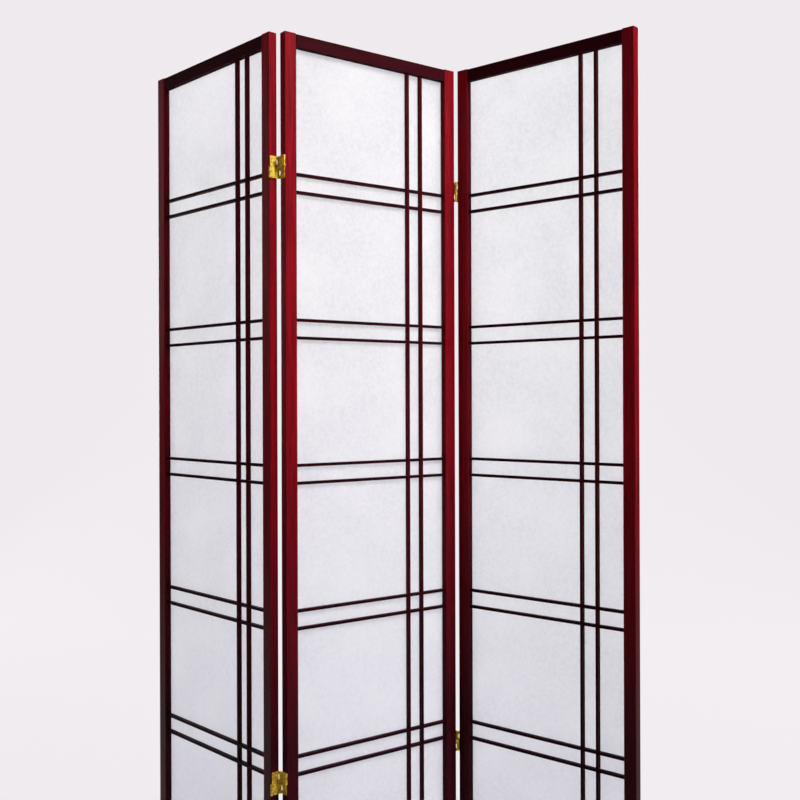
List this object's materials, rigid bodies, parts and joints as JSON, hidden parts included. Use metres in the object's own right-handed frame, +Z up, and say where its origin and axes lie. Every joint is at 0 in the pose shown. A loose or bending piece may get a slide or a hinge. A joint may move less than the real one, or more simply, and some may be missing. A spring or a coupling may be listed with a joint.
{
  "type": "folding room divider screen",
  "caption": "Freestanding folding room divider: tall narrow wood-framed lattice panels backed with translucent paper, joined edge to edge by two-way brass hinges so that they stand in a zigzag.",
  "frame": {"origin": "on the floor, in the middle of the box round the screen as it stands", "axes": "+Z up, +X from the left panel to the right panel, -Y out of the front, the side the lattice is on"},
  "size_m": [1.0362, 0.3672, 1.784],
  "materials": {
    "frame_wood": "dark cherry-red stain under satin-gloss lacquer",
    "lattice_wood": "dark rosewood stain under satin lacquer",
    "rice_paper": "white fibrous translucent paper, matt",
    "hinge_brass": "bright brass plate"
  },
  "bodies": {
    "middle_panel": {"left_fold_lower_lower_pin": "hinge_brass", "left_fold_lower_right_leaf": "hinge_brass", "left_fold_lower_upper_link": "hinge_brass", "left_fold_upper_lower_pin": "hinge_brass", "left_fold_upper_right_leaf": "hinge_brass", "left_fold_upper_upper_link": "hinge_brass", "middle_panel_bottom_rail": "frame_wood", "middle_panel_crossbar_pair_1": "lattice_wood", "middle_panel_crossbar_pair_2": "lattice_wood", "middle_panel_crossbar_pair_3": "lattice_wood", "middle_panel_crossbar_pair_4": "lattice_wood", "middle_panel_crossbar_pair_5": "lattice_wood", "middle_panel_left_stile": "frame_wood", "middle_panel_paper": "rice_paper", "middle_panel_right_stile": "frame_wood", "middle_panel_top_rail": "frame_wood", "middle_panel_upright_1": "lattice_wood", "middle_panel_upright_2": "lattice_wood", "right_fold_lower_left_leaf": "hinge_brass", "right_fold_lower_lower_pin": "hinge_brass", "right_fold_lower_upper_link": "hinge_brass", "right_fold_upper_left_leaf": "hinge_brass", "right_fold_upper_lower_pin": "hinge_brass", "right_fold_upper_upper_link": "hinge_brass"},
    "left_panel": {"left_fold_lower_left_leaf": "hinge_brass", "left_fold_lower_lower_link": "hinge_brass", "left_fold_lower_upper_pin": "hinge_brass", "left_fold_upper_left_leaf": "hinge_brass", "left_fold_upper_lower_link": "hinge_brass", "left_fold_upper_upper_pin": "hinge_brass", "left_panel_bottom_rail": "frame_wood", "left_panel_crossbar_pair_1": "lattice_wood", "left_panel_crossbar_pair_2": "lattice_wood", "left_panel_crossbar_pair_3": "lattice_wood", "left_panel_crossbar_pair_4": "lattice_wood", "left_panel_crossbar_pair_5": "lattice_wood", "left_panel_left_stile": "frame_wood", "left_panel_paper": "rice_paper", "left_panel_right_stile": "frame_wood", "left_panel_top_rail": "frame_wood", "left_panel_upright_1": "lattice_wood", "left_panel_upright_2": "lattice_wood"},
    "right_panel": {"right_fold_lower_lower_link": "hinge_brass", "right_fold_lower_right_leaf": "hinge_brass", "right_fold_lower_upper_pin": "hinge_brass", "right_fold_upper_lower_link": "hinge_brass", "right_fold_upper_right_leaf": "hinge_brass", "right_fold_upper_upper_pin": "hinge_brass", "right_panel_bottom_rail": "frame_wood", "right_panel_crossbar_pair_1": "lattice_wood", "right_panel_crossbar_pair_2": "lattice_wood", "right_panel_crossbar_pair_3": "lattice_wood", "right_panel_crossbar_pair_4": "lattice_wood", "right_panel_crossbar_pair_5": "lattice_wood", "right_panel_left_stile": "frame_wood", "right_panel_paper": "rice_paper", "right_panel_right_stile": "frame_wood", "right_panel_top_rail": "frame_wood", "right_panel_upright_1": "lattice_wood", "right_panel_upright_2": "lattice_wood"}
  },
  "joints": [
    {"name": "left_fold", "type": "hinge", "parent": "middle_panel", "child": "left_panel", "pos_m": [-0.20337, -0.14732, 0.892], "axis": [0, 0, 1], "range_deg": [-94.7, 85.3]},
    {"name": "right_fold", "type": "hinge", "parent": "middle_panel", "child": "right_panel", "pos_m": [0.16831, 0.10991, 0.892], "axis": [0, 0, 1], "range_deg": [-101.4, 78.6]}
  ]
}
